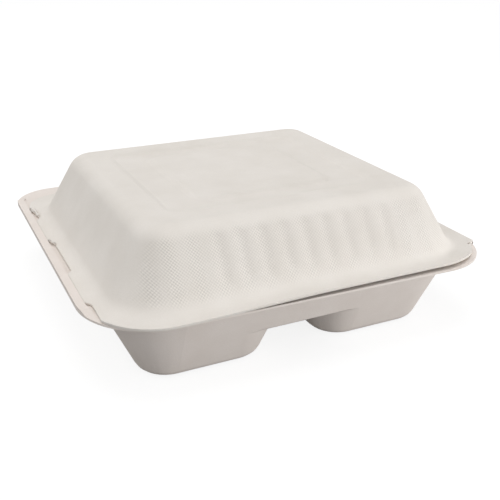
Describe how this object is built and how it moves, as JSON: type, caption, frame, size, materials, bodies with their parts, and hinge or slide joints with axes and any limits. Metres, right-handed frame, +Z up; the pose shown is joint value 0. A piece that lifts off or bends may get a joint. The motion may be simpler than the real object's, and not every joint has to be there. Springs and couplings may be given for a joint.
{
  "type": "clamshell food container",
  "caption": "Square hinged takeaway container of moulded bagasse pulp, closed: a compartmented tray with ridges between, and a domed lid with grooved side walls and a sunk ring on its top.",
  "frame": {"origin": "middle of the bounding box of the closed container, at the height of the compartments' undersides, on which it stands", "axes": "+Z up, +X towards the fold between tray and lid, -X towards the front edge with the lid's tabs, +Y towards the side with the wider rim ledge"},
  "size_m": [0.227, 0.229, 0.0763],
  "materials": {
    "tray_pulp": "matte",
    "lid_pulp": "matte"
  },
  "bodies": {
    "tray": {"tray": "tray_pulp"},
    "lid": {"lid": "lid_pulp"}
  },
  "joints": [
    {"name": "lid_fold", "type": "hinge", "parent": "tray", "child": "lid", "pos_m": [0.1138, -0.008, 0.0397], "axis": [0, 1, 0], "range_deg": [0, 180]}
  ]
}
